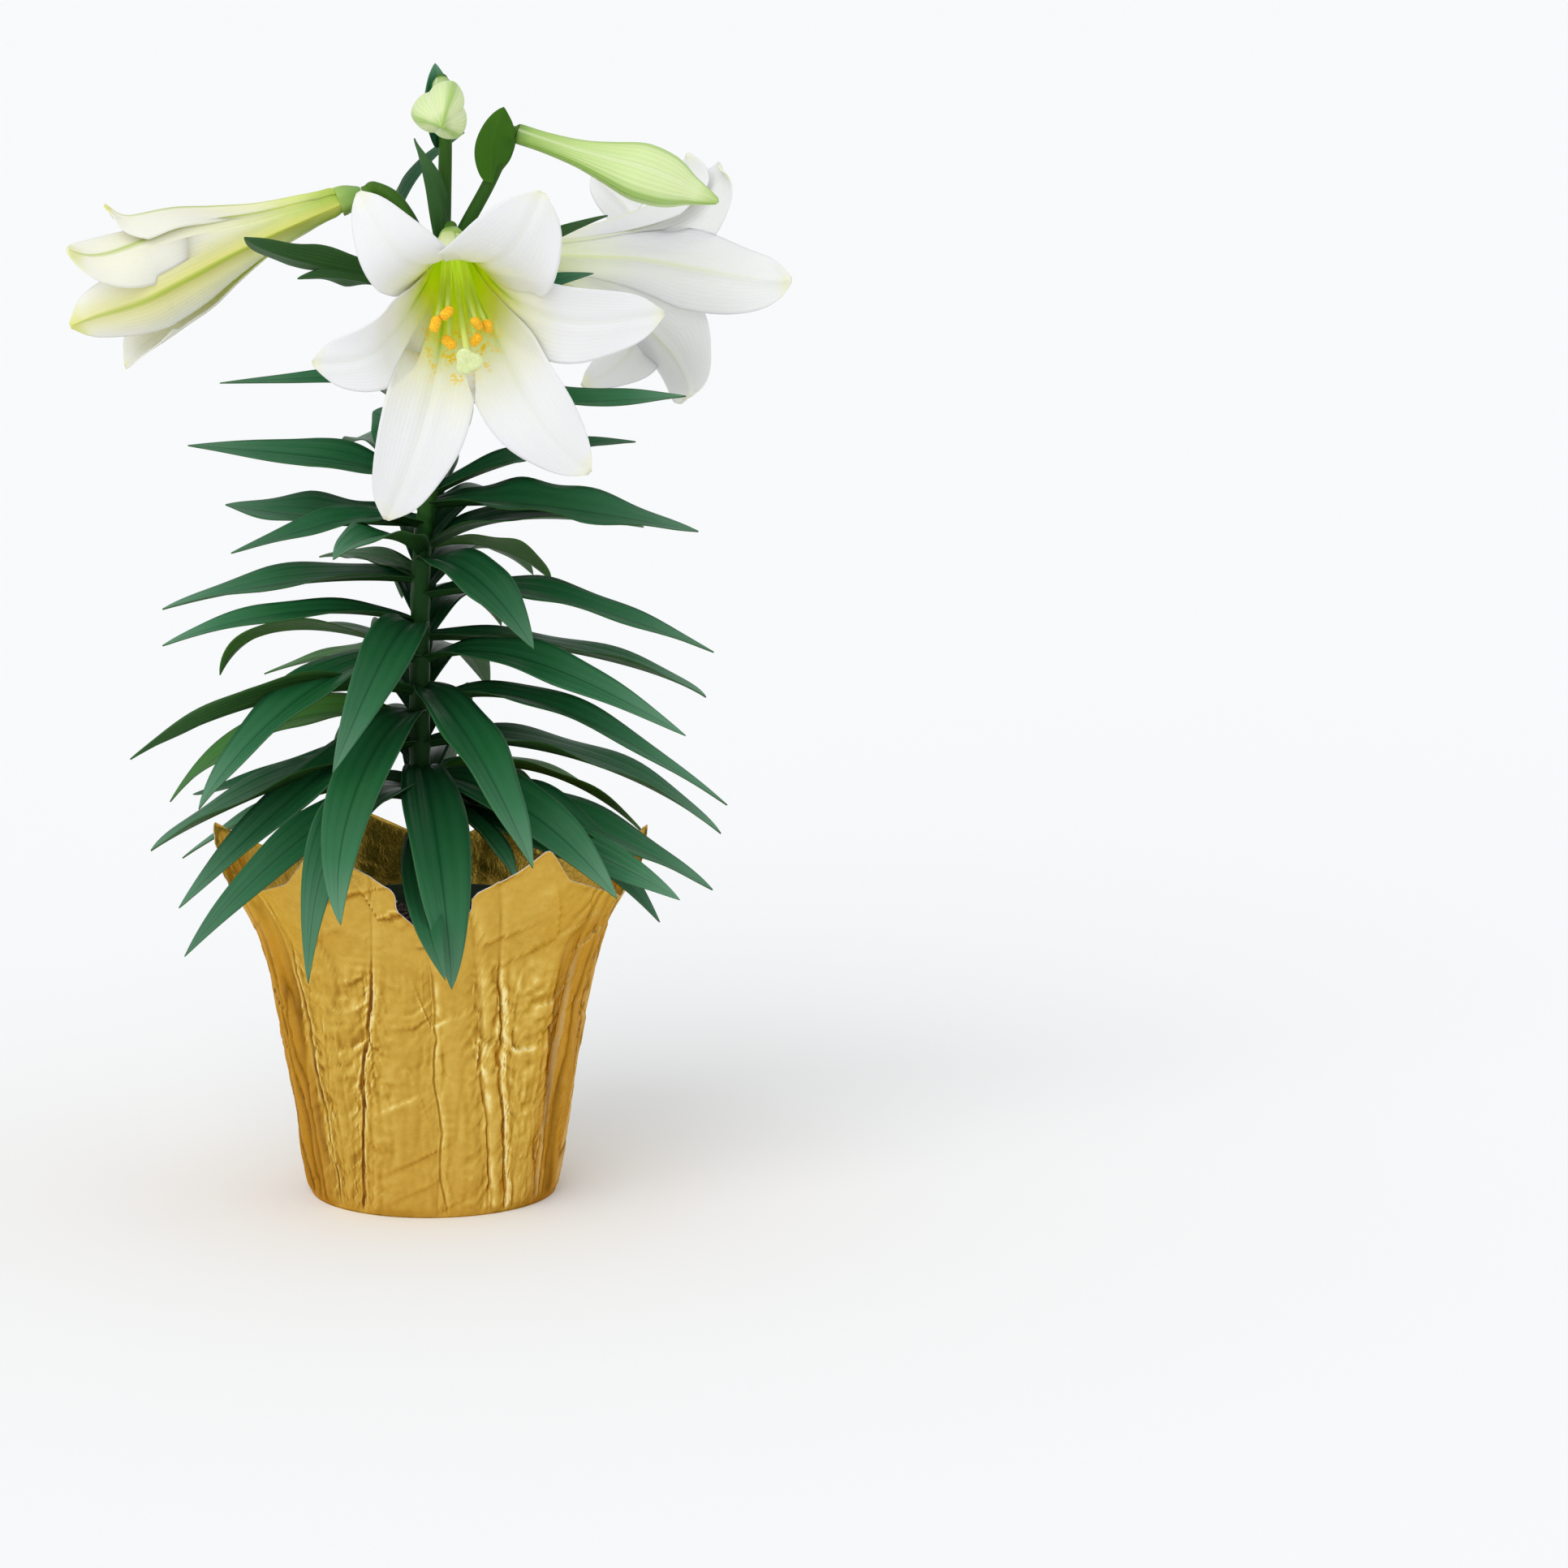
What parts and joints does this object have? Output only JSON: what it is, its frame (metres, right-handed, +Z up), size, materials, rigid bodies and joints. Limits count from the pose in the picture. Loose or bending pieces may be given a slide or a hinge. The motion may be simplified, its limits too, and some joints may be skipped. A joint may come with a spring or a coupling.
{
  "type": "potted easter lily",
  "caption": "Flowering lily plant with trumpet blooms and buds on a leafy stem, in a plastic grower pot with a pleated foil cover.",
  "frame": {"origin": "centre of the foil cover's flat underside, on the surface the pot stands on", "axes": "+Z up along the pot's axis and the stem, -Y towards the front bloom's side, +X to the right seen from the front"},
  "size_m": [0.3177, 0.2874, 0.51],
  "materials": {
    "foil": "metallised gold film, crinkled",
    "pot_plastic": "moulded satin",
    "potting_mix": "moist crumbs",
    "leaf": "waxy satin",
    "tepal_white": "soft matte petal",
    "tepal_cream": "soft matte petal",
    "stamen": "powdery pollen on pale green filaments",
    "bud": "smooth waxy"
  },
  "bodies": {
    "root": {"foil_cover": "foil", "pot": "pot_plastic", "soil": "potting_mix", "leafy_stem": "leaf", "front_bloom": "tepal_white", "right_bloom": "tepal_white", "left_bloom": "tepal_cream", "front_stamens": "stamen", "right_stamens": "stamen", "left_stamens": "stamen", "right_bud": "bud", "top_bud": "bud"}
  },
  "joints": []
}
